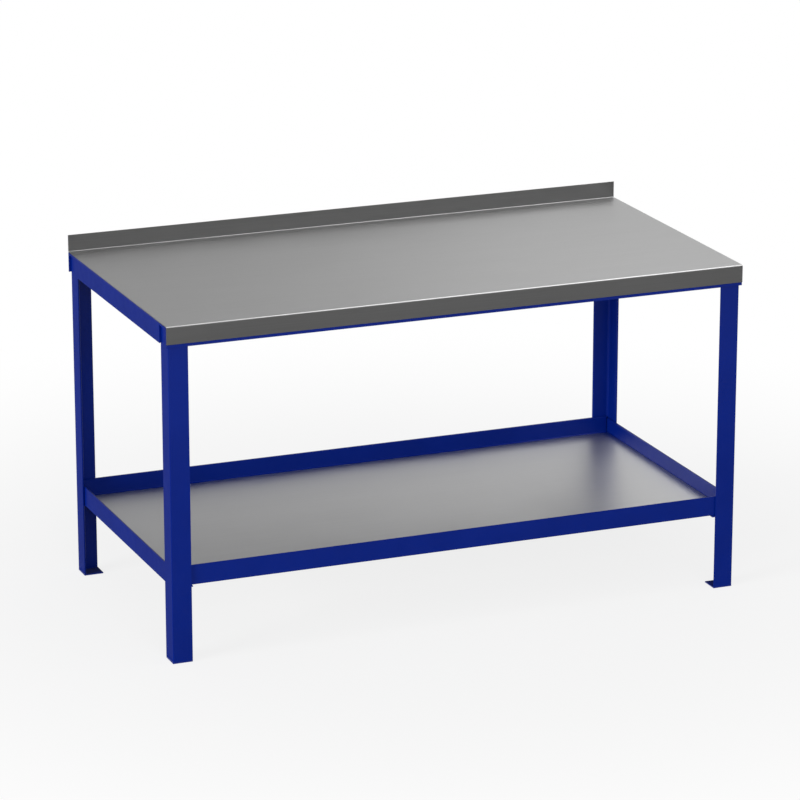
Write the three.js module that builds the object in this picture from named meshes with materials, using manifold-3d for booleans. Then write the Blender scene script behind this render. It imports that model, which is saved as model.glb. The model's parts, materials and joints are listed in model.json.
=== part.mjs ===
// Assembly table: a welded frame of rolled steel angle with a folded steel worktop and a steel shelf.
// Millimetres, +Z up. X runs along the bench and the front faces -Y.
// The origin is on the floor, under the middle of the bench.
import * as THREE from "three";
import { mergeVertices } from "three/addons/utils/BufferGeometryUtils.js";
import Module from "manifold-3d";

const wasm = await Module();
wasm.setup();

// Bench
const benchLength = 1500;
const frameDepth = 750;
const worktopHeight = 840;
const shelfHeight = 200;

// Equal angle, hot rolled, used for the whole frame
const angleWidth = 50;
const angleThickness = 5;
const angleRootRadius = 7;
const angleToeRadius = 3.5;
const angleHeelRadius = 1.5;
const angleBackMark = 30;

// Worktop sheet, folded down at the front and up at the rear
const worktopThickness = 2;
const worktopBendRadius = 1.5;
const lipDrop = 44;
const upstandRise = 42;

// Shelf sheet, laid in the tray of shelf rails
const shelfThickness = 2;
const shelfEndClearance = 1;

// Foot plates
const footPlateThickness = 3;

// Top-hat stiffeners, spot welded under both sheets
const stiffenerThickness = 1.5;
const stiffenerBendRadius = 1.5;
const stiffenerWebWidth = 40;
const stiffenerFlangeWidth = 18;
const stiffenerDepth = 20;
const stiffenerEndClearance = 10;
const worktopStiffenerCount = 3;
const shelfStiffenerCount = 2;

// Weld studs that hold the worktop, with flange nuts under the long rails
const studDiameter = 6;
const studProjection = 3;
const studEndDistance = 150;
const studCountPerRail = 3;
const studHoleClearance = 1.5;
const nutSides = 6;
const nutAcrossFlats = 10;
const nutHeight = 6;
const nutFlangeDiameter = 14;
const nutFlangeThickness = 1.5;

// Gap left between pieces that touch on the real bench
const fitGap = 0.3;

// Steps in a quarter turn of a small radius, and sides of a round hole or stud
const arcSteps = 5;
const roundSides = 24;

// Heights of the frame, from the worktop down and from the shelf down
const topRailTop = worktopHeight - worktopThickness - fitGap;
const topRailUnderside = topRailTop - angleThickness;
const legTop = topRailUnderside - fitGap;
const legBottom = footPlateThickness + fitGap;
const longShelfRailFlangeTop = shelfHeight - shelfThickness - fitGap;
const longShelfRailBottom = longShelfRailFlangeTop - angleThickness;
const sideShelfRailFlangeTop = longShelfRailBottom - fitGap;
const sideShelfRailBottom = sideShelfRailFlangeTop - angleThickness;

// Faces across the bench, measured from the middle. The lip stands in front of the front rail.
const overallDepth = frameDepth + fitGap + worktopThickness;
const lipFace = -overallDepth / 2;
const frontRailFace = lipFace + worktopThickness + fitGap;
const rearRailFace = frontRailFace + frameDepth;
const endFace = benchLength / 2;
const middleDepth = (frontRailFace + rearRailFace) / 2;

// Steps inwards from the outer face of the top rails, the same at the ends and at the front and rear
const legInset = angleThickness + fitGap;
const legInnerInset = legInset + angleThickness;
const shelfRailInset = legInnerInset + fitGap;
const shelfRailInnerInset = shelfRailInset + angleThickness;
const longShelfRailEndInset = Math.max(legInnerInset + angleRootRadius, shelfRailInnerInset) + fitGap;
const shelfRailToeInset = shelfRailInset + angleWidth;

const framePaint = { color: 0x0b2a8c, roughness: 0.45, metalness: 0.0 };
const brushedSteel = { color: 0xa8a8a8, roughness: 0.35, metalness: 1.0 };
const zincPlate = { color: 0xb4b6b8, roughness: 0.4, metalness: 1.0 };

const bench = new THREE.Group();

function addPiece(name, geometry, finish, x, y, z) {
  geometry.computeVertexNormals();
  const piece = new THREE.Mesh(geometry, new THREE.MeshStandardMaterial(finish));
  piece.name = name;
  piece.position.set(x, y, z);
  bench.add(piece);
}

// Solids for cutting and joining
function solidOf(geometry) {
  const bare = geometry.clone();
  bare.deleteAttribute("normal");
  bare.deleteAttribute("uv");
  const merged = mergeVertices(bare);
  return new wasm.Manifold(
    new wasm.Mesh({
      numProp: 3,
      vertProperties: new Float32Array(merged.attributes.position.array),
      triVerts: new Uint32Array(merged.index.array),
    }),
  );
}

function geometryOf(solid) {
  const mesh = solid.getMesh();
  const geometry = new THREE.BufferGeometry();
  geometry.setAttribute("position", new THREE.BufferAttribute(mesh.vertProperties, 3));
  geometry.setIndex(new THREE.BufferAttribute(mesh.triVerts, 1));
  return geometry.toNonIndexed();
}

function cutFrom(geometry, cutters) {
  return geometryOf(cutters.reduce((solid, cutter) => solid.subtract(solidOf(cutter)), solidOf(geometry)));
}

// An outline pushed through a length, centred on its middle.
// Along Z the outline is drawn in X and Y, along X in Y and Z, and along Y in Z and X.
const axisX = new THREE.Vector3(1, 0, 0);
const axisY = new THREE.Vector3(0, 1, 0);
const axisZ = new THREE.Vector3(0, 0, 1);
const drawnAlong = {
  x: new THREE.Matrix4().makeBasis(axisY, axisZ, axisX),
  y: new THREE.Matrix4().makeBasis(axisZ, axisX, axisY),
  z: new THREE.Matrix4(),
};

function pushed(outline, length, axis) {
  const geometry = new THREE.ExtrudeGeometry(outline, { depth: length, bevelEnabled: false });
  geometry.translate(0, 0, -length / 2);
  return geometry.applyMatrix4(drawnAlong[axis]);
}

// A rounded corner between two straight edges, turning from one angle to another in quarter turns
function addCorner(outline, centreX, centreY, radius, fromQuarter, toQuarter) {
  for (let step = 0; step <= arcSteps; step += 1) {
    const angle = ((fromQuarter + ((toQuarter - fromQuarter) * step) / arcSteps) * Math.PI) / 2;
    outline.push(new THREE.Vector2(centreX + radius * Math.cos(angle), centreY + radius * Math.sin(angle)));
  }
}

// Section of the angle, with its heel at the origin and a flange along each direction, +1 or -1
function angleOutline(firstDirection, secondDirection) {
  const toeCentre = angleWidth - angleToeRadius;
  const toeDepth = angleThickness - angleToeRadius;
  const rootCentre = angleThickness + angleRootRadius;
  const points = [];
  addCorner(points, angleHeelRadius, angleHeelRadius, angleHeelRadius, 2, 3);
  points.push(new THREE.Vector2(angleWidth, 0));
  addCorner(points, toeCentre, toeDepth, angleToeRadius, 0, 1);
  addCorner(points, rootCentre, rootCentre, angleRootRadius, 3, 2);
  addCorner(points, toeDepth, toeCentre, angleToeRadius, 0, 1);
  points.push(new THREE.Vector2(0, angleWidth));
  return new THREE.Shape(
    points.map((point) => new THREE.Vector2(point.x * firstDirection, point.y * secondDirection)),
  );
}

// What a piece loses to clear the root of the angle that it seats in.
// The seat's corner is at the origin, and the piece lies along both directions from it.
// The cut is long enough to pass a whole angle on either side.
const reliefLength = 3 * angleWidth;

function rootReliefOutline(firstDirection, secondDirection) {
  const points = [new THREE.Vector2(0, 0), new THREE.Vector2(angleRootRadius, 0)];
  addCorner(points, angleRootRadius, angleRootRadius, angleRootRadius - fitGap, 3, 2);
  points.push(new THREE.Vector2(0, angleRootRadius));
  return new THREE.Shape(
    points.map((point) => new THREE.Vector2(point.x * firstDirection, point.y * secondDirection)),
  );
}

// Both ends and both sides of the bench, with the sign of X or Y on that side
const ends = [
  { name: "left", sign: -1 },
  { name: "right", sign: 1 },
];
const sides = [
  { name: "front", sign: -1, face: frontRailFace },
  { name: "rear", sign: 1, face: rearRailFace },
];

// Evenly spread places, with as many spaces as places plus one
function spread(count, length) {
  return Array.from({ length: count }, (_, index) => ((index + 1) / (count + 1) - 0.5) * length);
}

// Legs: the heel is the outer corner. Their tops are ground to clear the roots of the top rails.
function makeLeg(end, side) {
  const length = legTop - legBottom;
  const middleHeight = (legTop + legBottom) / 2;
  const seatHeight = topRailUnderside - middleHeight;
  const railCorner = fitGap * side.sign;
  const endCorner = fitGap * end.sign;
  const bar = pushed(angleOutline(-end.sign, -side.sign), length, "z");
  const longRailRelief = pushed(rootReliefOutline(-side.sign, -1), reliefLength, "x");
  longRailRelief.translate(0, railCorner, seatHeight);
  const sideRailRelief = pushed(rootReliefOutline(-1, -end.sign), angleWidth, "y");
  const reliefStart = angleWidth - legInset;
  sideRailRelief.translate(endCorner, -side.sign * (reliefStart + angleWidth / 2), seatHeight);
  const leg = cutFrom(bar, [longRailRelief, sideRailRelief]);
  const x = end.sign * (endFace - legInset);
  const y = side.face - side.sign * legInset;
  addPiece(`leg_${side.name}_${end.name}`, leg, framePaint, x, y, middleHeight);
}

// Foot plates: square, as wide as the leg and flush with its outer faces
function makeFootPlate(end, side) {
  const plate = new THREE.BoxGeometry(angleWidth, angleWidth, footPlateThickness);
  const inset = legInset + angleWidth / 2;
  const x = end.sign * (endFace - inset);
  const y = side.face - side.sign * inset;
  addPiece(`foot_plate_${side.name}_${end.name}`, plate, framePaint, x, y, footPlateThickness / 2);
}

for (const side of sides) {
  for (const end of ends) {
    makeLeg(end, side);
    makeFootPlate(end, side);
  }
}

// Studs along a long rail
const studSpan = benchLength - 2 * studEndDistance;
const studPlaces = Array.from(
  { length: studCountPerRail },
  (_, index) => (index / (studCountPerRail - 1) - 0.5) * studSpan,
);

// A regular outline with a corner on X, round where it has many sides
function regularOutline(sideCount, cornerRadius) {
  const corners = Array.from({ length: sideCount }, (_, index) => {
    const angle = (index / sideCount) * 2 * Math.PI;
    return new THREE.Vector2(cornerRadius * Math.cos(angle), cornerRadius * Math.sin(angle));
  });
  return new THREE.Shape(corners);
}

function circleOutline(diameter) {
  return regularOutline(roundSides, diameter / 2);
}

// Long top rails: one flange hangs outside the legs, the other lies under the worktop, drilled for the studs
function makeLongTopRail(side) {
  const bar = pushed(angleOutline(-side.sign, -1), benchLength, "x");
  const drillLength = 4 * angleThickness;
  const holes = studPlaces.map((place) => {
    const hole = pushed(circleOutline(studDiameter + 2 * studHoleClearance), drillLength, "z");
    return hole.translate(place, -side.sign * angleBackMark, 0);
  });
  addPiece(`top_rail_${side.name}`, cutFrom(bar, holes), framePaint, 0, side.face, topRailTop);
}

// Side top rails: cut to fit between the toes of the long rails
function makeSideTopRail(end) {
  const length = frameDepth - 2 * (angleWidth + fitGap);
  const bar = pushed(angleOutline(-1, -end.sign), length, "y");
  addPiece(`top_rail_${end.name}`, bar, framePaint, end.sign * endFace, middleDepth, topRailTop);
}

sides.forEach(makeLongTopRail);
ends.forEach(makeSideTopRail);

// Side shelf rails: inside the legs, with their ends ground to clear the roots of the legs
function makeSideShelfRail(end) {
  const length = frameDepth - 2 * shelfRailInset;
  const bar = pushed(angleOutline(1, -end.sign), length, "y");
  const legRootReliefs = sides.map((side) => {
    const relief = pushed(rootReliefOutline(-end.sign, -side.sign), reliefLength, "z");
    return relief.translate(fitGap * end.sign, side.sign * (length / 2 + fitGap), 0);
  });
  const rail = cutFrom(bar, legRootReliefs);
  const x = end.sign * (endFace - shelfRailInset);
  addPiece(`shelf_rail_${end.name}`, rail, framePaint, x, middleDepth, sideShelfRailBottom);
}

// Long shelf rails: they lie on the side rails, with their ends ground to clear the roots of those
function makeLongShelfRail(side) {
  const length = benchLength - 2 * longShelfRailEndInset;
  const bar = pushed(angleOutline(-side.sign, 1), length, "x");
  const seatCorner = endFace - shelfRailInnerInset;
  const sideRootReliefs = ends.map((end) => {
    const relief = pushed(rootReliefOutline(1, -end.sign), reliefLength, "y");
    return relief.translate(end.sign * seatCorner, 0, -fitGap);
  });
  const rail = cutFrom(bar, sideRootReliefs);
  const y = side.face - side.sign * shelfRailInset;
  addPiece(`shelf_rail_${side.name}`, rail, framePaint, 0, y, longShelfRailBottom);
}

ends.forEach(makeSideShelfRail);
sides.forEach(makeLongShelfRail);

// Worktop: the lip folds down over the front rail and the upstand rises over the rear rail
function makeWorktop() {
  const inner = worktopBendRadius;
  const outer = worktopBendRadius + worktopThickness;
  const underside = worktopHeight - worktopThickness;
  const lipBack = lipFace + worktopThickness;
  const upstandFace = rearRailFace - worktopThickness;
  const lipBottom = worktopHeight - lipDrop;
  const upstandTop = worktopHeight + upstandRise;
  const points = [new THREE.Vector2(lipBack, lipBottom)];
  addCorner(points, lipBack + inner, underside - inner, inner, 2, 1);
  addCorner(points, rearRailFace - outer, underside + outer, outer, 3, 4);
  points.push(new THREE.Vector2(rearRailFace, upstandTop), new THREE.Vector2(upstandFace, upstandTop));
  addCorner(points, upstandFace - inner, worktopHeight + inner, inner, 4, 3);
  addCorner(points, lipFace + outer, worktopHeight - outer, outer, 1, 2);
  points.push(new THREE.Vector2(lipFace, lipBottom));
  addPiece("worktop", pushed(new THREE.Shape(points), benchLength, "x"), brushedSteel, 0, 0, 0);
}

// Shelf: flat, lying on the long rails clear of their roots
function makeShelf() {
  const length = benchLength - 2 * (shelfRailInnerInset + shelfEndClearance);
  const depth = frameDepth - 2 * (shelfRailInnerInset + angleRootRadius + fitGap);
  const panel = new THREE.BoxGeometry(length, depth, shelfThickness);
  addPiece("shelf_panel", panel, brushedSteel, 0, middleDepth, shelfHeight - shelfThickness / 2);
}

makeWorktop();
makeShelf();

// Top-hat section in Z and X, with its flanges up against the sheet at Z = 0 and its web below
function topHatOutline() {
  const inner = stiffenerBendRadius;
  const outer = stiffenerBendRadius + stiffenerThickness;
  const webHalf = stiffenerWebWidth / 2;
  const innerHalf = webHalf - stiffenerThickness;
  const flangeEnd = webHalf - stiffenerThickness + stiffenerFlangeWidth;
  const webTop = stiffenerThickness - stiffenerDepth;
  const half = [new THREE.Vector2(-stiffenerDepth, 0)];
  addCorner(half, outer - stiffenerDepth, webHalf - outer, outer, 2, 1);
  addCorner(half, -stiffenerThickness - inner, webHalf + inner, inner, 3, 4);
  half.push(new THREE.Vector2(-stiffenerThickness, flangeEnd), new THREE.Vector2(0, flangeEnd));
  addCorner(half, -outer, innerHalf + outer, outer, 4, 3);
  addCorner(half, webTop + inner, innerHalf - inner, inner, 1, 2);
  const mirrored = half
    .slice(1)
    .reverse()
    .map((point) => new THREE.Vector2(point.x, -point.y));
  return new THREE.Shape([...half, ...mirrored]);
}

function makeStiffeners(name, count, toeInset, sheetUnderside) {
  const length = frameDepth - 2 * (toeInset + stiffenerEndClearance);
  spread(count, benchLength).forEach((place, index) => {
    const hat = pushed(topHatOutline(), length, "y");
    addPiece(`${name}_${index + 1}`, hat, brushedSteel, place, middleDepth, sheetUnderside - fitGap);
  });
}

makeStiffeners("worktop_stiffener", worktopStiffenerCount, angleWidth, worktopHeight - worktopThickness);
makeStiffeners("shelf_stiffener", shelfStiffenerCount, shelfRailToeInset, shelfHeight - shelfThickness);

// Weld studs hang from the worktop through the long rails, and the nuts pull up under the rails
const nutTop = topRailUnderside - fitGap;
const studTop = worktopHeight - worktopThickness - fitGap;
const studBottom = nutTop - nutHeight - studProjection;

function makeNut() {
  const drillLength = 4 * nutHeight;
  const bore = pushed(circleOutline(studDiameter + 2 * fitGap), drillLength, "z");
  const flange = pushed(circleOutline(nutFlangeDiameter), nutFlangeThickness, "z");
  const nutCornerRadius = nutAcrossFlats / 2 / Math.cos(Math.PI / nutSides);
  const hexagon = pushed(regularOutline(nutSides, nutCornerRadius), nutHeight, "z");
  flange.translate(0, 0, -nutFlangeThickness / 2);
  hexagon.translate(0, 0, -nutHeight / 2);
  return geometryOf(solidOf(hexagon).add(solidOf(flange)).subtract(solidOf(bore)));
}

for (const side of sides) {
  const y = side.face - side.sign * angleBackMark;
  studPlaces.forEach((place, index) => {
    const stud = pushed(circleOutline(studDiameter), studTop - studBottom, "z");
    addPiece(`worktop_stud_${side.name}_${index + 1}`, stud, zincPlate, place, y, (studTop + studBottom) / 2);
    addPiece(`worktop_nut_${side.name}_${index + 1}`, makeNut(), zincPlate, place, y, nutTop);
  });
}

export default bench;
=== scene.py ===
import json
import math
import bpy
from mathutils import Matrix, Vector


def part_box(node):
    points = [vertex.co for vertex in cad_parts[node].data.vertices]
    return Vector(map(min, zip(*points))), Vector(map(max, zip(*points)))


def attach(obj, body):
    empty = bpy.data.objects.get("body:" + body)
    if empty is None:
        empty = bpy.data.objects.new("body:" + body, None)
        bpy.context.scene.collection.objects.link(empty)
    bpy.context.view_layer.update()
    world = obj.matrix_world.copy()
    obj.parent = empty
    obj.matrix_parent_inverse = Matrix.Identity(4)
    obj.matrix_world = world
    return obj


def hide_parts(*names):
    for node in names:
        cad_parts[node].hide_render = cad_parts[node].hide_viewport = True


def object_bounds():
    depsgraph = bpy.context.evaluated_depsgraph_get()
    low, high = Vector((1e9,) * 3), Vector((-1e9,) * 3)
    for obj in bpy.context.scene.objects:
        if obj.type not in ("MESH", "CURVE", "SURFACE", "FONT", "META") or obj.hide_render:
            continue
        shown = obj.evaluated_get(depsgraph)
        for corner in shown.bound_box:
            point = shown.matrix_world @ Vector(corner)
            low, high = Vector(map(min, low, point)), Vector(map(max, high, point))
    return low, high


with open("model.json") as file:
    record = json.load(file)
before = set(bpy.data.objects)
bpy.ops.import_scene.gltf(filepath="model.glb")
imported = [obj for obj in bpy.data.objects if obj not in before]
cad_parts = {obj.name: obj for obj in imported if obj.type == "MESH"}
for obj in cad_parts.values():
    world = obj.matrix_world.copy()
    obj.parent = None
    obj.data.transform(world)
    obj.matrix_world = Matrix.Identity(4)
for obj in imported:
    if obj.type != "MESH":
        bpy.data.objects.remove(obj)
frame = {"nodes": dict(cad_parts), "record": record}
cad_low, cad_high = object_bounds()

from types import SimpleNamespace

import bmesh
import bpy
from mathutils import Vector

# All lengths here are metres, and small sizes are written in millimetres
MM = 0.001

# Camera: a long lens in front of the bench, to its left and above it
VIEW_AZIMUTH = 22.144
VIEW_ELEVATION = 16.828
VIEW_DISTANCE = 10.0
VIEW_TARGET = Vector((-0.0093, -0.0005, 0.4735))
SENSOR_WIDTH = 36.0
LENS_LENGTH = 179.6

# The white surround, and the soft fill that it gives
WHITE = (1.0, 1.0, 1.0, 1.0)
WHITE_LEVEL = 1.0
FILL_LEVEL = 0.25

# Lamps: where each softbox stands, its width and height, and its radiance
OVERHEAD_PLACE = (0.3, -0.9, 3.6)
OVERHEAD_SIZE = (2.6, 0.8)
OVERHEAD_RADIANCE = 1.0
FRONT_PLACE = (-2.0, -14.0, 5.0)
FRONT_SIZE = (8.0, 6.0)
FRONT_RADIANCE = 5.4
LEFT_PLACE = (-20.0, -4.8, 4.7)
LEFT_SIZE = (10.0, 8.0)
LEFT_RADIANCE = 13.0

# Floor: it shows a share of the bench's shadow near the bench, and is white further out
FLOOR_HALF_SIZE = 30.0
FLOOR_COLOUR = (0.93, 0.93, 0.93, 1.0)
FLOOR_SHADOW_REACH = 2.4
FLOOR_SHADOW_SHARE = 0.18

# Studio: softboxes and grey shades on a dome before the white surround, met by mirrored rays alone
DOME_RADIUS = 9.0
DOME_CENTRE = Vector((0.0, 0.0, 0.5))
DOME_STEP = 5.0

# Edges of the dome's parts, as degrees from straight behind the bench to its right
LEFT_EDGE = -120.0
REAR_LEFT_EDGE = -60.0
REAR_EDGE = 0.0
REAR_RIGHT_EDGE = 25.0
RIGHT_NEAR_EDGE = 50.0
RIGHT_EDGE = 65.0
FRONT_EDGE = 125.0
HIGH_SOFTBOX_END = 150.0
FRONT_END = LEFT_EDGE + 360.0

# Edges of the dome's parts, as degrees above the horizon
HORIZON = -3.0
FRONT_LOW_TOP = 15.0
SOFTBOX_LOW = 22.0
REAR_LOW_TOP = 29.0
SIDE_TOP = 47.0
SOFTBOX_TOP = 58.0
HIGH_TOP = 75.0
ZENITH = 90.0

# How bright the dome's parts are, where 1 is white
LEFT_GLOW = 0.6
REAR_LEFT_GLOW = 1.22
REAR_LOW_GLOW = 0.5
REAR_UPPER_GLOW = 0.56
REAR_RIGHT_LOW_GLOW = 0.33
REAR_RIGHT_SOFTBOX_GLOW = 1.4
RIGHT_NEAR_GLOW = 0.63
REAR_HIGH_GLOW = 0.22
RIGHT_GLOW = 0.3
HIGH_SOFTBOX_GLOW = 2.2
FRONT_LOW_GLOW = 0.05
FRONT_GLOW = 0.38
FRONT_HIGH_GLOW = 0.34
ZENITH_GLOW = 0.5

# Flags that lie just above the floor, for the same reflections
FLAG_ABOVE_FLOOR = 4 * MM
FLAG_REACH = DOME_RADIUS
FRONT_FLAG_EDGE = -2.2
NEAR_FLAG_GLOW = 0.05
FRONT_FAR_FLAG_GLOW = 0.41
LEFT_FLAG_GLOW = 0.12
REAR_FLAG_GLOW = 0.42


def add_node(tree, kind, settings=None, inputs=None):
    """Adds a node. An input is a plain value or the socket that feeds it."""
    node = tree.nodes.new(kind)
    for name, value in (settings or {}).items():
        setattr(node, name, value)
    for name, value in (inputs or {}).items():
        if isinstance(value, bpy.types.NodeSocket):
            tree.links.new(value, node.inputs[name])
        else:
            node.inputs[name].default_value = value
    return node


def calculate(tree, operation, first, second):
    return add_node(tree, "ShaderNodeMath", {"operation": operation}, {0: first, 1: second}).outputs[0]


def seen_or_mirrored(tree):
    """1 for rays from the camera, a mirror or clear glass, and 0 for the rays that light the object."""
    path = add_node(tree, "ShaderNodeLightPath").outputs
    mirrored = calculate(tree, "MAXIMUM", path["Is Glossy Ray"], path["Is Transmission Ray"])
    return calculate(tree, "MAXIMUM", path["Is Camera Ray"], mirrored)


def add_to_scene(thing):
    bpy.context.scene.collection.objects.link(thing)
    return thing


def make_camera():
    data = bpy.data.cameras.new("camera")
    data.sensor_width = SENSOR_WIDTH
    data.lens = LENS_LENGTH
    camera = add_to_scene(bpy.data.objects.new("camera", data))
    azimuth = math.radians(VIEW_AZIMUTH)
    elevation = math.radians(VIEW_ELEVATION)
    level = math.cos(elevation)
    back = Vector((-level * math.sin(azimuth), -level * math.cos(azimuth), math.sin(elevation)))
    camera.location = VIEW_TARGET + VIEW_DISTANCE * back
    camera.rotation_euler = (math.pi / 2 - elevation, 0, -azimuth)
    bpy.context.scene.camera = camera


def make_world():
    """White to rays from the camera, a mirror or clear glass, and a soft fill to the rest."""
    world = bpy.data.worlds.new("studio")
    world.use_nodes = True
    tree = world.node_tree
    tree.nodes.clear()
    fill = add_node(tree, "ShaderNodeBackground", inputs={"Color": WHITE, "Strength": FILL_LEVEL})
    white = add_node(tree, "ShaderNodeBackground", inputs={"Color": WHITE, "Strength": WHITE_LEVEL})
    either = add_node(
        tree,
        "ShaderNodeMixShader",
        inputs={0: seen_or_mirrored(tree), 1: fill.outputs[0], 2: white.outputs[0]},
    )
    add_node(tree, "ShaderNodeOutputWorld", inputs={"Surface": either.outputs[0]})
    bpy.context.scene.world = world


def empty_material(name):
    material = bpy.data.materials.new(name)
    material.use_nodes = True
    material.node_tree.nodes.clear()
    return material


def stage_mesh(name, points, faces, material):
    """A mesh that isn't part of the bench, and whose glow isn't sampled as a lamp."""
    material.cycles.emission_sampling = "NONE"
    mesh = bpy.data.meshes.new(name)
    mesh.from_pydata(points, [], faces)
    mesh.materials.append(material)
    thing = add_to_scene(bpy.data.objects.new(name, mesh))
    return thing


def level_quad(left, right, front, rear, height):
    return [(left, front, height), (right, front, height), (right, rear, height), (left, rear, height)]


QUAD_FACES = [(0, 1, 2, 3)]


def make_floor():
    """A pale floor that keeps the bench's shadow, and is plain white further out."""
    material = empty_material("floor")
    tree = material.node_tree
    place = add_node(tree, "ShaderNodeTexCoord").outputs["Object"]
    distance = add_node(tree, "ShaderNodeVectorMath", {"operation": "LENGTH"}, {0: place})
    shadow_share = add_node(
        tree,
        "ShaderNodeMapRange",
        {"interpolation_type": "SMOOTHSTEP"},
        {
            "Value": distance.outputs["Value"],
            "From Min": cad_high.x,
            "From Max": FLOOR_SHADOW_REACH,
            "To Min": FLOOR_SHADOW_SHARE,
            "To Max": 0.0,
        },
    )
    pale = add_node(tree, "ShaderNodeBsdfDiffuse", inputs={"Color": FLOOR_COLOUR})
    white = add_node(tree, "ShaderNodeEmission", inputs={"Color": WHITE, "Strength": WHITE_LEVEL})
    shown = add_node(
        tree,
        "ShaderNodeMixShader",
        inputs={0: shadow_share.outputs["Result"], 1: white.outputs[0], 2: pale.outputs[0]},
    )
    either = add_node(
        tree,
        "ShaderNodeMixShader",
        inputs={0: seen_or_mirrored(tree), 1: pale.outputs[0], 2: shown.outputs[0]},
    )
    add_node(tree, "ShaderNodeOutputMaterial", inputs={"Surface": either.outputs[0]})
    reach = FLOOR_HALF_SIZE
    stage_mesh("floor", level_quad(-reach, reach, -reach, reach, 0), QUAD_FACES, material)


def make_shade(name, points, faces, brightness):
    """A glowing shade that the bench mirrors. It is not seen itself, and casts no light or shadow."""
    material = empty_material(name)
    tree = material.node_tree
    glow = add_node(tree, "ShaderNodeEmission", inputs={"Color": WHITE, "Strength": brightness})
    add_node(tree, "ShaderNodeOutputMaterial", inputs={"Surface": glow.outputs[0]})
    shade = stage_mesh(name, points, faces, material)
    shade.visible_camera = False
    shade.visible_diffuse = False
    shade.visible_shadow = False
    shade.visible_transmission = False
    shade.visible_volume_scatter = False


def dome_shade(name, left, right, low, high, brightness):
    """A part of the dome. Azimuth 0 is behind the bench, and turns to its right."""
    columns = math.ceil((right - left) / DOME_STEP)
    rows = math.ceil((high - low) / DOME_STEP)
    points = []
    for row in range(rows + 1):
        elevation = math.radians(low + (high - low) * row / rows)
        level = math.cos(elevation)
        for column in range(columns + 1):
            azimuth = math.radians(left + (right - left) * column / columns)
            way = Vector((level * math.sin(azimuth), level * math.cos(azimuth), math.sin(elevation)))
            points.append(DOME_CENTRE + DOME_RADIUS * way)
    faces = []
    across = columns + 1
    for row in range(rows):
        for column in range(columns):
            corner = row * across + column
            faces.append((corner, corner + 1, corner + across + 1, corner + across))
    make_shade(name, points, faces, brightness)


def make_dome():
    rear = (REAR_EDGE, REAR_RIGHT_EDGE)
    rear_right = (REAR_RIGHT_EDGE, RIGHT_NEAR_EDGE)
    front = (FRONT_EDGE, FRONT_END)
    side = (HORIZON, SIDE_TOP)
    high = (SIDE_TOP, HIGH_TOP)
    dome_shade("left_shade", LEFT_EDGE, REAR_LEFT_EDGE, *side, LEFT_GLOW)
    dome_shade("rear_left_shade", REAR_LEFT_EDGE, REAR_EDGE, *side, REAR_LEFT_GLOW)
    dome_shade("rear_low_shade", *rear, HORIZON, REAR_LOW_TOP, REAR_LOW_GLOW)
    dome_shade("rear_upper_shade", *rear, REAR_LOW_TOP, SOFTBOX_TOP, REAR_UPPER_GLOW)
    dome_shade("rear_right_low_shade", *rear_right, HORIZON, SOFTBOX_LOW, REAR_RIGHT_LOW_GLOW)
    dome_shade("rear_right_softbox", *rear_right, SOFTBOX_LOW, SOFTBOX_TOP, REAR_RIGHT_SOFTBOX_GLOW)
    dome_shade("right_near_shade", RIGHT_NEAR_EDGE, RIGHT_EDGE, *side, RIGHT_NEAR_GLOW)
    dome_shade("left_high_shade", LEFT_EDGE, REAR_EDGE, *high, REAR_HIGH_GLOW)
    dome_shade("rear_high_shade", REAR_EDGE, RIGHT_NEAR_EDGE, SOFTBOX_TOP, HIGH_TOP, REAR_HIGH_GLOW)
    dome_shade("right_shade", RIGHT_EDGE, FRONT_EDGE, *side, RIGHT_GLOW)
    dome_shade("high_softbox", RIGHT_NEAR_EDGE, HIGH_SOFTBOX_END, *high, HIGH_SOFTBOX_GLOW)
    dome_shade("front_low_shade", *front, HORIZON, FRONT_LOW_TOP, FRONT_LOW_GLOW)
    dome_shade("front_shade", *front, FRONT_LOW_TOP, SIDE_TOP, FRONT_GLOW)
    dome_shade("front_high_shade", HIGH_SOFTBOX_END, FRONT_END, *high, FRONT_HIGH_GLOW)
    dome_shade("zenith_shade", LEFT_EDGE, FRONT_END, HIGH_TOP, ZENITH, ZENITH_GLOW)


def floor_flag(name, left, right, front, rear, brightness):
    make_shade(name, level_quad(left, right, front, rear, FLAG_ABOVE_FLOOR), QUAD_FACES, brightness)


def make_floor_flags():
    far = FLAG_REACH
    front = cad_low.y
    rear = cad_high.y
    left = cad_low.x
    floor_flag("front_near_flag", -far, far, FRONT_FLAG_EDGE, front, NEAR_FLAG_GLOW)
    floor_flag("front_far_flag", -far, far, -far, FRONT_FLAG_EDGE, FRONT_FAR_FLAG_GLOW)
    floor_flag("left_flag", -far, left, front, far, LEFT_FLAG_GLOW)
    floor_flag("rear_flag", left, far, rear, far, REAR_FLAG_GLOW)
    floor_flag("under_flag", left, far, front, rear, NEAR_FLAG_GLOW)


def make_softbox(name, place, size, radiance):
    """A lamp that faces the middle of the bench, and isn't seen or mirrored."""
    width, height = size
    middle = (cad_low + cad_high) / 2
    data = bpy.data.lights.new(name, "AREA")
    data.shape = "RECTANGLE"
    data.size = width
    data.size_y = height
    data.energy = math.pi * width * height * radiance
    light = add_to_scene(bpy.data.objects.new(name, data))
    light.location = place
    light.rotation_euler = (middle - Vector(place)).to_track_quat("-Z", "Y").to_euler()
    light.visible_camera = False
    light.visible_glossy = False


def make_lights():
    make_softbox("overhead", OVERHEAD_PLACE, OVERHEAD_SIZE, OVERHEAD_RADIANCE)
    make_softbox("front", FRONT_PLACE, FRONT_SIZE, FRONT_RADIANCE)
    make_softbox("left", LEFT_PLACE, LEFT_SIZE, LEFT_RADIANCE)


# Patterns: the detail of the noise, and the middle range of a pattern that is used
NOISE_DETAIL = 2.0
PATTERN_START = 0.3
PATTERN_END = 0.7

# Places of the colour sockets on a mix node
MIX_FIRST = 6
MIX_SECOND = 7
MIX_RESULT = 2


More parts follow.
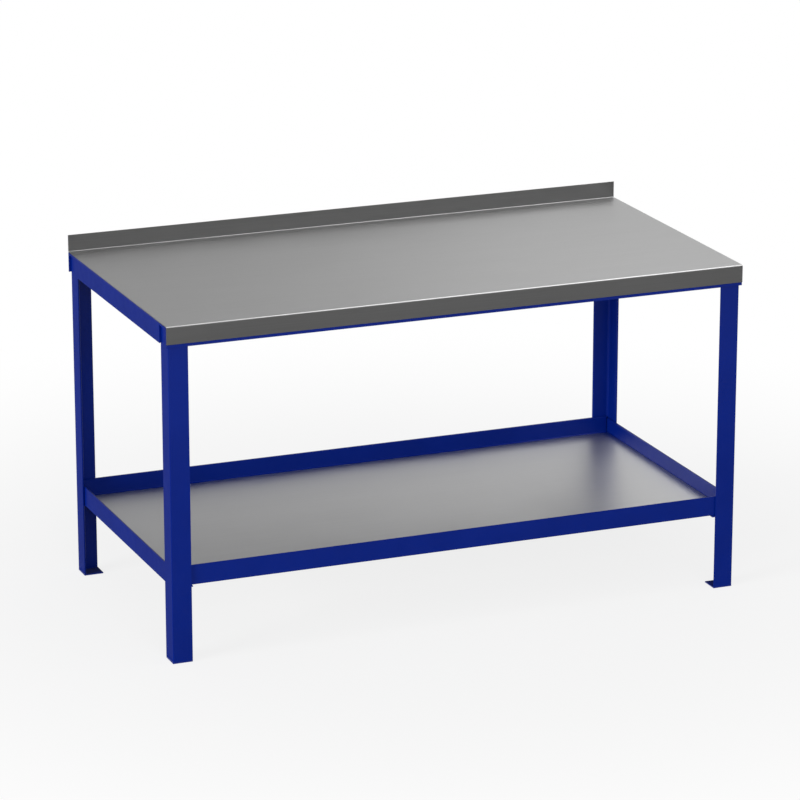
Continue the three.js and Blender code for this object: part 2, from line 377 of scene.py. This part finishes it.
def noise(tree, along, across, detail=NOISE_DETAIL):
    """Noise over the object's own coordinates: so many features to the metre along X, and across it."""
    place = add_node(tree, "ShaderNodeTexCoord").outputs["Object"]
    stretch = {"Vector": place, "Scale": (along, across, across)}
    stretched = add_node(tree, "ShaderNodeMapping", inputs=stretch)
    pattern = add_node(
        tree,
        "ShaderNodeTexNoise",
        inputs={"Vector": stretched.outputs["Vector"], "Scale": 1.0, "Detail": detail},
    )
    return pattern.outputs["Fac"]


def between(tree, pattern, low, high, start=PATTERN_START, end=PATTERN_END):
    """The pattern from start to end, spread from low to high."""
    spread = add_node(
        tree,
        "ShaderNodeMapRange",
        inputs={"Value": pattern, "From Min": start, "From Max": end, "To Min": low, "To Max": high},
    )
    return spread.outputs["Result"]


def mix_colours(tree, share, first, second):
    colours = {"Factor": share, MIX_FIRST: first, MIX_SECOND: second}
    return add_node(tree, "ShaderNodeMix", {"data_type": "RGBA"}, colours).outputs[MIX_RESULT]


def colour_between(tree, pattern, first, second):
    return mix_colours(tree, between(tree, pattern, 0.0, 1.0), first, second)


def bump(tree, pattern, depth):
    return add_node(tree, "ShaderNodeBump", inputs={"Height": pattern, "Distance": depth}).outputs["Normal"]


def grey(level):
    return (level, level, level, 1)


def add_surface(material, inputs):
    """Gives the material its surface, whose inputs are plain values or sockets."""
    tree = material.node_tree
    shader = add_node(tree, "ShaderNodeBsdfPrincipled", inputs=inputs)
    add_node(tree, "ShaderNodeOutputMaterial", inputs={"Surface": shader.outputs[0]})
    return material


# Powder coat: a resin film that mirrors little square on, with its patterns in features to the metre
PAINT_DARK = (0.0008, 0.0140, 0.200, 1)
PAINT_LIGHT = (0.0010, 0.0160, 0.225, 1)
PAINT_DRIFT = 7
PAINT_PATCHES = 45
PAINT_ROUGHNESS = (0.29, 0.35)
PAINT_PEEL = 650
PAINT_PEEL_DEPTH = 0.02 * MM
PAINT_SPECULAR = 0.25


def make_frame_paint():
    """Deep blue powder coat: satin, with an orange peel and a slight drift of shade."""
    material = empty_material("frame_paint")
    tree = material.node_tree
    drift = noise(tree, PAINT_DRIFT, PAINT_DRIFT)
    patches = noise(tree, PAINT_PATCHES, PAINT_PATCHES)
    peel = noise(tree, PAINT_PEEL, PAINT_PEEL)
    return add_surface(material, {
        "Base Color": colour_between(tree, drift, PAINT_DARK, PAINT_LIGHT),
        "Roughness": between(tree, patches, *PAINT_ROUGHNESS),
        "Normal": bump(tree, peel, PAINT_PEEL_DEPTH),
        "Specular IOR Level": PAINT_SPECULAR,
    })


# Steel sheet, with its patterns in features to the metre along and across the brushing
WORKTOP_GREYS = (0.430, 0.470)
# The shelf's greys are lighter than the worktop's: painted light that makes up for the shade under the
# worktop
SHELF_GREYS_WITH_PAINTED_LIGHT = (0.55, 0.59)
SHEET_ROUGHNESS = (0.375, 0.415)
STREAKS = (3, 420)
STREAK_DETAIL = 3.0
STREAK_ROUGHNESS = 0.02
HAIRS = (25, 2600)
HAIR_DEPTH = 0.004 * MM
CLOUDS = (5, 7)

# Bends and broken edges get a lighter steel grey: a painted highlight along them
BEND_HIGHLIGHT_GREY = grey(0.74)
BEND_START = 0.9
BEND_END = 0.995

# Brushed sheet blurs a reflection most across the brushing
BRUSHED_ANISOTROPY = 0.45
QUARTER_TURN = 0.25


def painted_highlight_on_bends(tree):
    """1 on bends and broken edges, where the surface turns between two flats, and 0 on the flats, to place
    the painted highlight.
    """
    normal = add_node(tree, "ShaderNodeTexCoord").outputs["Normal"]
    sizes = add_node(tree, "ShaderNodeVectorMath", {"operation": "ABSOLUTE"}, {0: normal})
    parts = add_node(tree, "ShaderNodeSeparateXYZ", inputs={"Vector": sizes.outputs["Vector"]}).outputs
    level = calculate(tree, "MAXIMUM", parts["X"], parts["Y"])
    largest = calculate(tree, "MAXIMUM", level, parts["Z"])
    return between(tree, largest, 1.0, 0.0, BEND_START, BEND_END)


def make_sheet_steel(name, greys):
    """Steel sheet brushed along its length, with faint clouds left by handling and a painted highlight on
    its bends.
    """
    material = empty_material(name)
    tree = material.node_tree
    dark, light = greys
    streaks = noise(tree, *STREAKS, STREAK_DETAIL)
    hairs = noise(tree, *HAIRS)
    clouds = noise(tree, *CLOUDS)
    brushed = colour_between(tree, streaks, grey(dark), grey(light))
    cloudy = between(tree, clouds, *SHEET_ROUGHNESS)
    streaky = between(tree, streaks, -STREAK_ROUGHNESS, STREAK_ROUGHNESS)
    brushing = add_node(tree, "ShaderNodeCombineXYZ", inputs={"X": 1.0})
    return add_surface(material, {
        # The bends get a lighter grey: a painted highlight
        "Base Color": mix_colours(tree, painted_highlight_on_bends(tree), brushed, BEND_HIGHLIGHT_GREY),
        "Roughness": calculate(tree, "ADD", cloudy, streaky),
        "Normal": bump(tree, hairs, HAIR_DEPTH),
        "Tangent": brushing.outputs["Vector"],
        "Metallic": 1.0,
        "Anisotropic": BRUSHED_ANISOTROPY,
        "Anisotropic Rotation": QUARTER_TURN,
    })


# Mill finish of the stiffeners, with its patterns in features to the metre
MILL_DARK = (0.36, 0.36, 0.37, 1)
MILL_LIGHT = (0.46, 0.46, 0.47, 1)
MILL_ROUGHNESS = (0.36, 0.5)
MILL_SPANGLE = 130.0
MILL_GRAIN = 240
MILL_GRAIN_DEPTH = 0.02 * MM


def make_mill_steel():
    """Mill-finish folded sheet, with a faint spangle."""
    material = empty_material("stiffener_steel")
    tree = material.node_tree
    place = add_node(tree, "ShaderNodeTexCoord").outputs["Object"]
    cells = add_node(tree, "ShaderNodeTexVoronoi", inputs={"Vector": place, "Scale": MILL_SPANGLE})
    spangle = add_node(tree, "ShaderNodeRGBToBW", inputs={"Color": cells.outputs["Color"]}).outputs[0]
    grain = noise(tree, MILL_GRAIN, MILL_GRAIN)
    return add_surface(material, {
        "Base Color": colour_between(tree, spangle, MILL_DARK, MILL_LIGHT),
        "Roughness": between(tree, spangle, *MILL_ROUGHNESS),
        "Normal": bump(tree, grain, MILL_GRAIN_DEPTH),
        "Metallic": 1.0,
    })


# Zinc plate of the studs and nuts, with its patterns in features to the metre
ZINC_WARM = (0.58, 0.57, 0.52, 1)
ZINC_COLD = (0.54, 0.57, 0.62, 1)
ZINC_ROUGHNESS = (0.3, 0.42)
ZINC_DRIFT = 180
ZINC_GRAIN = 2200
ZINC_GRAIN_DEPTH = 0.01 * MM


def make_zinc():
    """Bright zinc plate, with a faint warm and cold drift."""
    material = empty_material("fastener_zinc")
    tree = material.node_tree
    drift = noise(tree, ZINC_DRIFT, ZINC_DRIFT)
    grain = noise(tree, ZINC_GRAIN, ZINC_GRAIN)
    return add_surface(material, {
        "Base Color": colour_between(tree, drift, ZINC_WARM, ZINC_COLD),
        "Roughness": between(tree, grain, *ZINC_ROUGHNESS),
        "Normal": bump(tree, grain, ZINC_GRAIN_DEPTH),
        "Metallic": 1.0,
    })


def make_materials():
    return {
        "frame_paint": make_frame_paint(),
        "worktop_steel": make_sheet_steel("worktop_steel", WORKTOP_GREYS),
        "shelf_steel": make_sheet_steel("shelf_steel", SHELF_GREYS_WITH_PAINTED_LIGHT),
        "stiffener_steel": make_mill_steel(),
        "fastener_zinc": make_zinc(),
    }


# Faces that meet at a smaller angle than this, in degrees, are shaded as one arc
SMOOTH_ANGLE = 32.0

# Points closer than this are one point, and faces that meet at a smaller angle than this are one flat
WELD_DISTANCE = 0.002 * MM
FLAT_ANGLE = 0.5

# Edges that a press brake, saw or guillotine leaves are broken by this much
EDGE_BREAK = {
    "frame_paint": 0.5 * MM,
    "worktop_steel": 0.25 * MM,
    "shelf_steel": 0.25 * MM,
    "stiffener_steel": 0.2 * MM,
    "fastener_zinc": 0.15 * MM,
}
EDGE_BREAK_STEPS = 2


def make_shading_group():
    """Shades a mesh smooth across its small arcs, and sharp across its corners."""
    group = bpy.data.node_groups.new("smooth_arcs", "GeometryNodeTree")
    group.interface.new_socket("Geometry", in_out="INPUT", socket_type="NodeSocketGeometry")
    group.interface.new_socket("Geometry", in_out="OUTPUT", socket_type="NodeSocketGeometry")
    start = add_node(group, "NodeGroupInput")
    angle = add_node(group, "GeometryNodeInputMeshEdgeAngle")
    sharp = add_node(
        group,
        "FunctionNodeCompare",
        {"data_type": "FLOAT", "operation": "GREATER_THAN"},
        {0: angle.outputs["Unsigned Angle"], 1: math.radians(SMOOTH_ANGLE)},
    )
    smooth = add_node(
        group,
        "GeometryNodeSetShadeSmooth",
        {"domain": "FACE"},
        {"Geometry": start.outputs["Geometry"], "Shade Smooth": True},
    )
    creased = add_node(
        group,
        "GeometryNodeSetShadeSmooth",
        {"domain": "EDGE"},
        {"Geometry": smooth.outputs["Geometry"], "Selection": sharp.outputs[0], "Shade Smooth": False},
    )
    add_node(group, "NodeGroupOutput", inputs={"Geometry": creased.outputs["Geometry"]})
    return group


def smooth_arcs(thing, shading_group):
    """Shades small arcs smooth, and keeps the flat faces beside them flat."""
    shading = thing.modifiers.new("shading", "NODES")
    shading.node_group = shading_group
    flat_faces = thing.modifiers.new("flat_faces", "WEIGHTED_NORMAL")
    flat_faces.mode = "FACE_AREA"
    flat_faces.keep_sharp = True


def dress_node(node, material, edge_break, shading_group):
    """Gives a CAD node its material, broken edges and smooth arcs."""
    for slot in node.material_slots:
        slot.material = material
    weld = node.modifiers.new("weld", "WELD")
    weld.merge_threshold = WELD_DISTANCE
    flats = node.modifiers.new("flats", "DECIMATE")
    flats.decimate_type = "DISSOLVE"
    flats.angle_limit = math.radians(FLAT_ANGLE)
    edges = node.modifiers.new("edges", "BEVEL")
    edges.width = edge_break
    edges.segments = EDGE_BREAK_STEPS
    edges.limit_method = "ANGLE"
    edges.angle_limit = math.radians(SMOOTH_ANGLE)
    smooth_arcs(node, shading_group)


def dress_nodes(materials, shading_group):
    for subpart in frame["record"]["subparts"]:
        slot_name = subpart["material_slot"]
        node = frame["nodes"][subpart["node"]]
        dress_node(node, materials[slot_name], EDGE_BREAK[slot_name], shading_group)


def add_piece(name, parts, slot_name, materials, shading_group):
    """Joins closed parts, each given as points and faces, into one piece of the bench."""
    mesh = bpy.data.meshes.new(name)
    joined = bmesh.new()
    for points, faces in parts:
        corners = [joined.verts.new(point) for point in points]
        for face in faces:
            joined.faces.new([corners[index] for index in face])
    bmesh.ops.recalc_face_normals(joined, faces=joined.faces)
    joined.to_mesh(mesh)
    joined.free()
    mesh.materials.append(materials[slot_name])
    piece = add_to_scene(bpy.data.objects.new(name, mesh))
    smooth_arcs(piece, shading_group)
    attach(piece, "root")
    return piece


def skin(rings, looped=False):
    """Skins a row of closed rings. A looped row closes on itself, and any other row is capped."""
    count = len(rings[0])
    points = [point for ring in rings for point in ring]
    faces = []
    for row in range(len(rings) if looped else len(rings) - 1):
        here = row * count
        there = (row + 1) % len(rings) * count
        for place in range(count):
            beside = (place + 1) % count
            faces.append((here + place, here + beside, there + beside, there + place))
    if not looped:
        faces.append(tuple(range(count)))
        faces.append(tuple(range(len(points) - count, len(points))))
    return points, faces


# Weld beads: hand-laid, with the ripples that each dab of the arc leaves
WELD_LEG = 3.2 * MM
FOOT_WELD_LEG = 2.6 * MM
BUTT_WELD_HALF_WIDTH = 2.6 * MM
WELD_SINK = 0.4 * MM
WELD_CROWN = 0.14
WELD_RIPPLE = 0.22 * MM
WELD_RIPPLE_PITCH = 2.2 * MM
WELD_STEPS_PER_RIPPLE = 4
WELD_ARC_STEPS = 6
WELD_END_SIZE = 0.4
WELD_CLEARANCE = 3 * MM

# Equal angle of the frame
ANGLE_THICKNESS = 5 * MM
ANGLE_ROOT_RADIUS = 7 * MM

# Directions that the beads' toes lie in
UP = (0, 0, 1)
DOWN = (0, 0, -1)
FRONTWARD = (0, -1, 0)
REARWARD = (0, 1, 0)


def weld_bead(start, end, first_side, second_side, leg, outward=None):
    """A rippled bead from start to end, whose two toes lie a leg's length along the two sides."""
    start = Vector(start)
    end = Vector(end)
    first_side = Vector(first_side)
    second_side = Vector(second_side)
    outward = Vector(outward) if outward else (first_side + second_side).normalized()
    length = (end - start).length
    steps = round(length / WELD_RIPPLE_PITCH) * WELD_STEPS_PER_RIPPLE
    rings = []
    for step in range(steps + 1):
        share = step / steps
        from_end = min(share, 1 - share) * length
        size = WELD_END_SIZE + (1 - WELD_END_SIZE) * math.sin(math.pi / 2 * min(1, from_end / leg))
        root = start.lerp(end, share) - WELD_SINK * outward
        ring = [root - WELD_SINK * outward]
        for arc_step in range(WELD_ARC_STEPS + 1):
            across = arc_step / WELD_ARC_STEPS
            hump = math.sin(math.pi * across)
            ripple = math.sin(math.pi * (step / WELD_STEPS_PER_RIPPLE - hump / 2)) ** 2
            chord = root + size * leg * (first_side * (1 - across) + second_side * across)
            height = size * leg * WELD_CROWN + WELD_SINK + WELD_RIPPLE * ripple
            ring.append(chord + hump * height * outward)
        rings.append(ring)
    return skin(rings)


def side_of(low, high, outward):
    return low if outward < 0 else high


def leg_corner(front_or_rear, left_or_right):
    """One leg's directions, and the places of its toes, its inner faces and the ends of its root radius."""
    out_x = -1 if left_or_right == "left" else 1
    out_y = -1 if front_or_rear == "front" else 1
    low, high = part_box(f"leg_{front_or_rear}_{left_or_right}")
    inner_x = side_of(low.x, high.x, out_x) - out_x * ANGLE_THICKNESS
    inner_y = side_of(low.y, high.y, out_y) - out_y * ANGLE_THICKNESS
    return SimpleNamespace(
        out_x=out_x,
        out_y=out_y,
        in_x=(-out_x, 0, 0),
        in_y=(0, -out_y, 0),
        toe_x=side_of(low.x, high.x, -out_x),
        toe_y=side_of(low.y, high.y, -out_y),
        inner_x=inner_x,
        inner_y=inner_y,
        root_x=inner_x - out_x * ANGLE_ROOT_RADIUS,
        root_y=inner_y - out_y * ANGLE_ROOT_RADIUS,
    )


def top_rail_welds(leg, long_rail, end_rail):
    """Two upright beads from the leg's toes to the rails, and one under the joint of the rails."""
    long_low, long_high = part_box(long_rail)
    end_low, end_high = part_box(end_rail)
    inner_y = side_of(long_low.y, long_high.y, leg.out_y) - leg.out_y * ANGLE_THICKNESS
    inner_x = side_of(end_low.x, end_high.x, leg.out_x) - leg.out_x * ANGLE_THICKNESS
    bottom = long_low.z + WELD_CLEARANCE
    underside = long_high.z - ANGLE_THICKNESS
    top = underside - ANGLE_ROOT_RADIUS - WELD_CLEARANCE
    long_toe_y = side_of(long_low.y, long_high.y, -leg.out_y)
    butt_y = (long_toe_y + side_of(end_low.y, end_high.y, leg.out_y)) / 2
    butt_start = (leg.inner_x - leg.out_x * WELD_CLEARANCE, butt_y, underside)
    end_toe_x = side_of(end_low.x, end_high.x, -leg.out_x)
    butt_end = (end_toe_x + leg.out_x * WELD_CLEARANCE, butt_y, underside)
    return [
        weld_bead((leg.toe_x, inner_y, bottom), (leg.toe_x, inner_y, top), leg.in_x, leg.in_y, WELD_LEG),
        weld_bead((inner_x, leg.toe_y, bottom), (inner_x, leg.toe_y, top), leg.in_y, leg.in_x, WELD_LEG),
        weld_bead(butt_start, butt_end, REARWARD, FRONTWARD, BUTT_WELD_HALF_WIDTH, DOWN),
    ]


def tray_welds(leg, long_rail, end_rail):
    """A bead under the end rail along the leg, and one under the long rail along the end rail's toe."""
    long_low, long_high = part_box(long_rail)
    end_low, end_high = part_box(end_rail)
    toe_x = side_of(end_low.x, end_high.x, -leg.out_x)
    start_y = side_of(long_low.y, long_high.y, leg.out_y) - leg.out_y * ANGLE_ROOT_RADIUS
    end_y = side_of(long_low.y, long_high.y, -leg.out_y) + leg.out_y * WELD_CLEARANCE
    leg_start = (leg.inner_x, leg.root_y, end_low.z)
    leg_end = (leg.inner_x, leg.toe_y, end_low.z)
    rail_start = (toe_x, start_y, long_low.z)
    rail_end = (toe_x, end_y, long_low.z)
    return [
        weld_bead(leg_start, leg_end, leg.in_x, DOWN, WELD_LEG),
        weld_bead(rail_start, rail_end, leg.in_x, DOWN, WELD_LEG),
    ]


def foot_welds(leg, foot_plate):
    """Two beads on the foot plate, along the inner faces of the leg."""
    foot_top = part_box(foot_plate)[1].z
    end_x = leg.toe_x + leg.out_x * WELD_CLEARANCE
    end_y = leg.toe_y + leg.out_y * WELD_CLEARANCE
    first_start = (leg.root_x, leg.inner_y, foot_top)
    first_end = (end_x, leg.inner_y, foot_top)
    second_start = (leg.inner_x, leg.root_y, foot_top)
    second_end = (leg.inner_x, end_y, foot_top)
    return [
        weld_bead(first_start, first_end, leg.in_y, UP, FOOT_WELD_LEG),
        weld_bead(second_start, second_end, leg.in_x, UP, FOOT_WELD_LEG),
    ]


def make_welds(materials, shading_group):
    """The beads that hold each leg to its rails and its foot, all on the inside of the frame."""
    for front_or_rear in ("front", "rear"):
        for left_or_right in ("left", "right"):
            corner = f"{front_or_rear}_{left_or_right}"
            leg = leg_corner(front_or_rear, left_or_right)
            beads = top_rail_welds(leg, f"top_rail_{front_or_rear}", f"top_rail_{left_or_right}")
            beads += tray_welds(leg, f"shelf_rail_{front_or_rear}", f"shelf_rail_{left_or_right}")
            beads += foot_welds(leg, f"foot_plate_{corner}")
            add_piece(f"welds_{corner}", beads, "frame_paint", materials, shading_group)


def circle(x, y, z, radius, sides):
    ring = []
    for side in range(sides):
        angle = math.tau * side / sides
        ring.append(Vector((x + radius * math.cos(angle), y + radius * math.sin(angle), z)))
    return ring


# Spot welds: the electrode leaves a shallow dimple in a slightly raised rim
STIFFENER_THICKNESS = 1.5 * MM
SPOT_PITCH = 85 * MM
SPOT_END_DISTANCE = 20 * MM
SPOT_FROM_FLANGE_EDGE = 7.5 * MM
SPOT_RADIUS = 3.4 * MM
SPOT_RIM_RADIUS = 2.9 * MM
SPOT_DIMPLE_RADIUS = 2.3 * MM
SPOT_RIM_HEIGHT = 0.16 * MM
SPOT_DIMPLE_HEIGHT = 0.04 * MM
SPOT_SINK = 0.1 * MM
SPOT_SIDES = 20


def spot_mark(x, y, underside):
    """One mark on the underside of a flange."""
    return skin([
        circle(x, y, underside + SPOT_SINK, SPOT_RADIUS, SPOT_SIDES),
        circle(x, y, underside, SPOT_RADIUS, SPOT_SIDES),
        circle(x, y, underside - SPOT_RIM_HEIGHT, SPOT_RIM_RADIUS, SPOT_SIDES),
        circle(x, y, underside - SPOT_DIMPLE_HEIGHT, SPOT_DIMPLE_RADIUS, SPOT_SIDES),
    ])


def make_spot_welds(materials, shading_group):
    for node_name in frame["nodes"]:
        if "_stiffener_" not in node_name:
            continue
        low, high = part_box(node_name)
        underside = high.z - STIFFENER_THICKNESS
        length = high.y - low.y
        gaps = round((length - 2 * SPOT_END_DISTANCE) / SPOT_PITCH)
        pitch = (length - 2 * SPOT_END_DISTANCE) / gaps
        marks = []
        for x in (low.x + SPOT_FROM_FLANGE_EDGE, high.x - SPOT_FROM_FLANGE_EDGE):
            for number in range(gaps + 1):
                marks.append(spot_mark(x, low.y + SPOT_END_DISTANCE + number * pitch, underside))
        add_piece(f"spot_welds_{node_name}", marks, "stiffener_steel", materials, shading_group)


# Weld studs with a metric coarse thread
THREAD_PITCH = 1 * MM
THREAD_DEPTH = 0.55 * MM
THREAD_STEPS_PER_PITCH = 6
THREAD_SIDES = 30
THREAD_HIDDEN = 1 * MM


def thread_ring(x, y, z, tip, radius):
    """A ring round the stud that dips where the thread's groove passes, and narrows towards the tip."""
    ring = []
    for side in range(THREAD_SIDES):
        turn = side / THREAD_SIDES
        place = ((z - tip) / THREAD_PITCH - turn) % 1
        groove = THREAD_DEPTH * (1 - abs(2 * place - 1))
        point_radius = min(radius - groove, radius - THREAD_DEPTH + (z - tip))
        angle = math.tau * turn
        ring.append(Vector((x + point_radius * math.cos(angle), y + point_radius * math.sin(angle), z)))
    return ring


def threaded_stud(low, high, nut_bottom):
    """A stud whose thread shows below its nut and ends inside it, with a plain shank above."""
    x = (low.x + high.x) / 2
    y = (low.y + high.y) / 2
    radius = (high.x - low.x) / 2
    tip = low.z
    step = THREAD_PITCH / THREAD_STEPS_PER_PITCH
    count = math.ceil((nut_bottom + THREAD_HIDDEN - tip) / step)
    rings = [thread_ring(x, y, tip + number * step, tip, radius) for number in range(count + 1)]
    shank = radius - THREAD_DEPTH
    rings.append(circle(x, y, tip + (count + 1) * step, shank, THREAD_SIDES))
    rings.append(circle(x, y, high.z, shank, THREAD_SIDES))
    return skin(rings)


# Flange nuts: a hexagon with chamfered corners on a sloped round flange
NUT_ACROSS_FLATS = 10 * MM
NUT_BORE_RADIUS = 2.7 * MM
NUT_COUNTERSINK = 0.6 * MM
NUT_CHAMFER_RADIUS = 4.7 * MM
NUT_CHAMFER_SLOPE = 0.5
NUT_FLANGE_EDGE = 0.9 * MM
NUT_FLANGE_HEIGHT = 1.9 * MM
NUT_ANGLES = 72
HEXAGON_SIDES = 6
NUT_PREFIX = "worktop_nut_"


def flange_nut(low, high):
    x = (low.x + high.x) / 2
    y = (low.y + high.y) / 2
    flange_radius = (high.x - low.x) / 2
    sector = math.tau / HEXAGON_SIDES
    rings = []
    for number in range(NUT_ANGLES):
        angle = math.tau * number / NUT_ANGLES
        from_flat = (angle + sector / 2) % sector - sector / 2
        hexagon = NUT_ACROSS_FLATS / 2 / math.cos(from_flat)
        chamfer = NUT_CHAMFER_SLOPE * (hexagon - NUT_CHAMFER_RADIUS)
        profile = [
            (NUT_BORE_RADIUS, high.z),
            (NUT_BORE_RADIUS, low.z + NUT_COUNTERSINK),
            (NUT_BORE_RADIUS + NUT_COUNTERSINK, low.z),
            (NUT_CHAMFER_RADIUS, low.z),
            (hexagon, low.z + chamfer),
            (hexagon, high.z - NUT_FLANGE_HEIGHT),
            (flange_radius, high.z - NUT_FLANGE_EDGE),
            (flange_radius, high.z),
        ]
        rings.append([Vector((x + r * math.cos(angle), y + r * math.sin(angle), z)) for r, z in profile])
    return skin(rings, looped=True)


def make_fasteners(materials, shading_group):
    for node_name in list(frame["nodes"]):
        if not node_name.startswith(NUT_PREFIX):
            continue
        place = node_name.removeprefix(NUT_PREFIX)
        stud_name = f"worktop_stud_{place}"
        nut_low, nut_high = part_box(node_name)
        stud_low, stud_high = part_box(stud_name)
        nut_parts = [flange_nut(nut_low, nut_high)]
        nut = add_piece(f"flange_nut_{place}", nut_parts, "fastener_zinc", materials, shading_group)
        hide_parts(node_name)
        stud_parts = [threaded_stud(stud_low, stud_high, nut_low.z)]
        stud = add_piece(f"threaded_stud_{place}", stud_parts, "fastener_zinc", materials, shading_group)
        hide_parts(stud_name)


bpy.context.scene.view_settings.view_transform = "Standard"
make_camera()
make_world()
make_floor()
make_dome()
make_floor_flags()
make_lights()
materials = make_materials()
shading_group = make_shading_group()
dress_nodes(materials, shading_group)
make_welds(materials, shading_group)
make_spot_welds(materials, shading_group)
make_fasteners(materials, shading_group)
